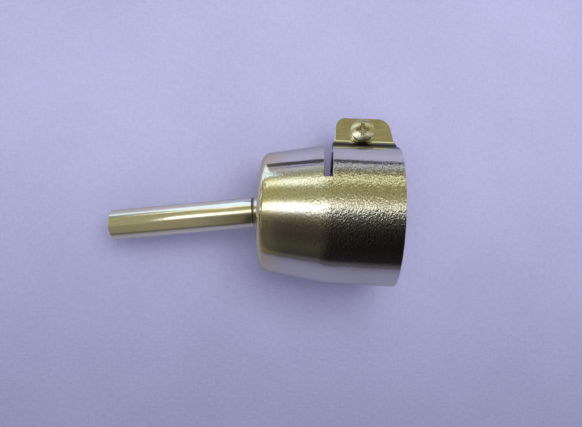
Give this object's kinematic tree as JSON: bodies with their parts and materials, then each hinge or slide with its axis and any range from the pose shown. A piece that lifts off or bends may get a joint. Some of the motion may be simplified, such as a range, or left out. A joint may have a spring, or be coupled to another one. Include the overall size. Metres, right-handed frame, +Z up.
{
  "type": "hot-air nozzle",
  "caption": "Plated sheet-steel hot-air nozzle: a tapered bell with a split clamp collar and screw, ending in a thin straight outlet tube.",
  "frame": {"origin": "middle of the footprint, on the surface that the nozzle lies on", "axes": "the nozzle lies on the flank of its tapered front, as on a bench: +X runs from the outlet tube to the mouth, +Y to the clamp ears, +Z up. Its bore axis lies in the XZ plane and rises 9.55 degrees towards the mouth, along (0.986151, 0, 0.165853), and it is rolled 13.1 degrees about that axis, so that the ears hang lower than the bore and the screw's head looks along (-0.16152, 0.227076, 0.960389)"},
  "size_m": [0.0512, 0.0294, 0.0257],
  "materials": {
    "plated_shell": "bright plated steel, polished on the taper and finely grained on the collar",
    "plated_tube": "bright plated steel tube",
    "braze_metal": "braze fillet, plated over and dull",
    "screw_metal": "plated steel fastener"
  },
  "bodies": {
    "bell": {"bell_shell": "plated_shell", "nozzle_tube": "plated_tube", "braze_fillet": "braze_metal"},
    "upper_flap": {"collar_flap_upper": "plated_shell"},
    "lower_flap": {"collar_flap_lower": "plated_shell", "clamp_nut": "screw_metal"},
    "screw": {"clamp_screw": "screw_metal"}
  },
  "joints": [
    {"name": "screw_turn", "type": "hinge", "parent": "upper_flap", "child": "screw", "pos_m": [0.01794, 0.01204, 0.01127], "axis": [0.1615, -0.2271, -0.9604], "range_deg": [0, 405]},
    {"name": "upper_flap_close", "type": "hinge", "parent": "bell", "child": "upper_flap", "pos_m": [0.01646, 0.00333, 0.02269], "axis": [-0.9862, 0, -0.1659], "range_deg": [0, 1.32]},
    {"name": "lower_flap_close", "type": "hinge", "parent": "bell", "child": "lower_flap", "pos_m": [0.02002, -0.00168, 0.00151], "axis": [0.9862, 0, 0.1659], "range_deg": [0, 1.32]}
  ],
  "couplings": [
    {"joint": "upper_flap_close", "follows": "screw_turn", "ratio": 0.0032261},
    {"joint": "lower_flap_close", "follows": "screw_turn", "ratio": 0.0032261}
  ]
}
